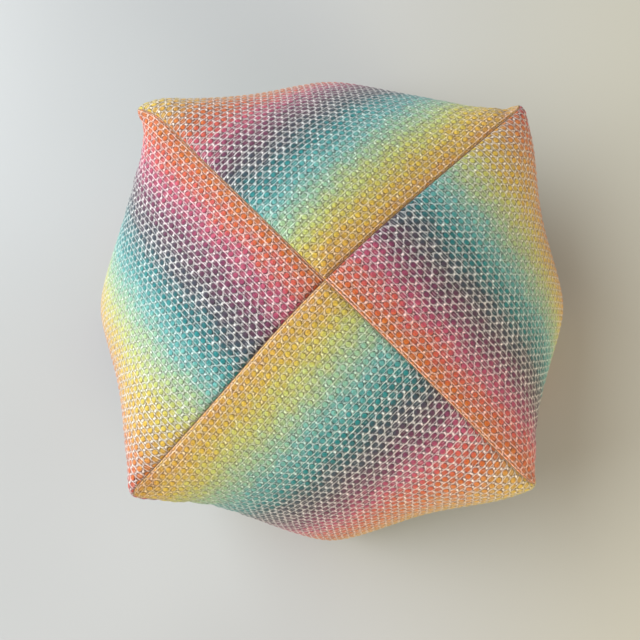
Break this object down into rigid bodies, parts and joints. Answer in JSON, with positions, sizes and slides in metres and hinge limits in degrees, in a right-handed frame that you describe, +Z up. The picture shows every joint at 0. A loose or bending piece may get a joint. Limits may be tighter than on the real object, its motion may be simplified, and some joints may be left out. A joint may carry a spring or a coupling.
{
  "type": "stuffed four-panel woven cushion",
  "caption": "Firm stuffed floor cushion sewn from rectangular handwoven panels that meet at the crown, with pinched corners and graded rainbow stripes.",
  "frame": {"origin": "centre of the base, on the floor", "axes": "+Z up through the base centre and the crown where the panels meet; +Y towards the back lower corner, +X towards the right lower corner, so the upper corners lie on the diagonals"},
  "size_m": [0.3996, 0.3996, 0.1779],
  "materials": {
    "woven_cover": "thick handwoven cloth with raised yarn cells; gradient weft that runs through gold, green, teal, grey, purple, pink and orange, held by thin off-white threads",
    "cover_thread": "matt spun sewing thread, lying deep in the seams",
    "hand_thread": "matt doubled thread of the hand-closed opening",
    "liner_cotton": "plain unbleached cotton",
    "liner_thread": "white spun sewing thread",
    "filling_fibre": "white staple fibre, packed firmly"
  },
  "bodies": {
    "root": {"cover_panel_back": "woven_cover", "cover_panel_right": "woven_cover", "cover_panel_front": "woven_cover", "cover_panel_left": "woven_cover", "top_seam_back_right": "cover_thread", "top_seam_front_right": "cover_thread", "top_seam_front_left": "cover_thread", "top_seam_back_left": "cover_thread", "side_seam_back": "cover_thread", "side_seam_right": "cover_thread", "side_seam_front": "cover_thread", "side_seam_left": "cover_thread", "base_seam_back": "cover_thread", "base_seam_right": "cover_thread", "base_seam_front": "cover_thread", "base_seam_left": "cover_thread", "closing_stitch": "hand_thread", "liner_panel_back": "liner_cotton", "liner_panel_right": "liner_cotton", "liner_panel_front": "liner_cotton", "liner_panel_left": "liner_cotton", "liner_top_seams": "liner_thread", "liner_side_seams": "liner_thread", "liner_base_seams": "liner_thread", "liner_closing_stitch": "liner_thread", "filling": "filling_fibre"}
  },
  "joints": []
}
